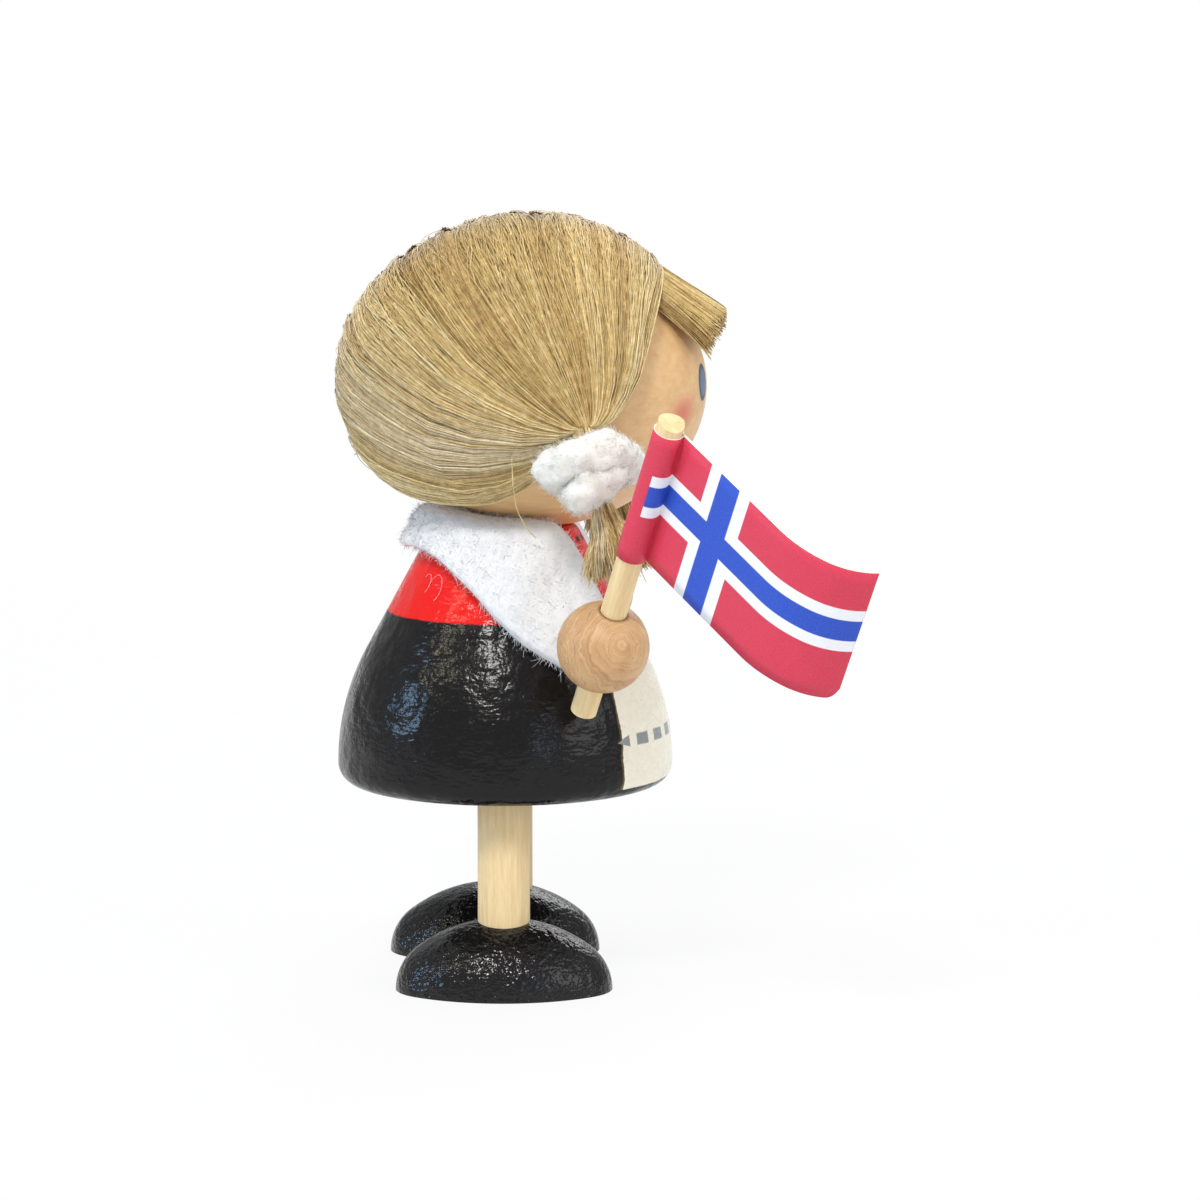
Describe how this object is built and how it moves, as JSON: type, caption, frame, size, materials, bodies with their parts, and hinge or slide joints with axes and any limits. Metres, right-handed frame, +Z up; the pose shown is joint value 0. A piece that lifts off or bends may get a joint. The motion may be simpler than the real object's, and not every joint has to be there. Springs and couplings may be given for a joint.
{
  "type": "peg doll",
  "caption": "Turned wooden peg doll with dowel legs, felt sleeves, bead hands and a flax wig, holding a small paper flag on a stick.",
  "frame": {"origin": "point of the standing plane under the axis of the turned body", "axes": "+Z up, the doll looks along -Y and its right hand is on -X"},
  "size_m": [0.0795, 0.0601, 0.0888],
  "materials": {
    "painted_body": "gloss paint, red bodice over a black skirt with a cream apron",
    "painted_shoe": "gloss black paint",
    "skin_wood": "clear varnish",
    "bare_wood": "bare sanded dowel",
    "felt": "matt felt",
    "flax": "combed fibre",
    "yarn": "fluffy yarn",
    "flag_paper": "printed paper"
  },
  "bodies": {
    "doll": {"body": "painted_body", "head": "skin_wood", "neck_dowel": "bare_wood", "right_leg": "bare_wood", "left_leg": "bare_wood", "right_shoe": "painted_shoe", "left_shoe": "painted_shoe", "felt_sleeves": "felt", "right_hand": "skin_wood", "left_hand": "skin_wood", "flax_wig": "flax", "flax_fringe": "flax", "right_hair_tie": "yarn", "left_hair_tie": "yarn"},
    "flag": {"flag_pole": "bare_wood", "paper_flag": "flag_paper"}
  },
  "joints": [
    {"name": "flag_slide", "type": "slide", "parent": "doll", "child": "flag", "axis": [-0.4568, -0.2378, 0.8572], "range_m": [0, 0.01]}
  ]
}
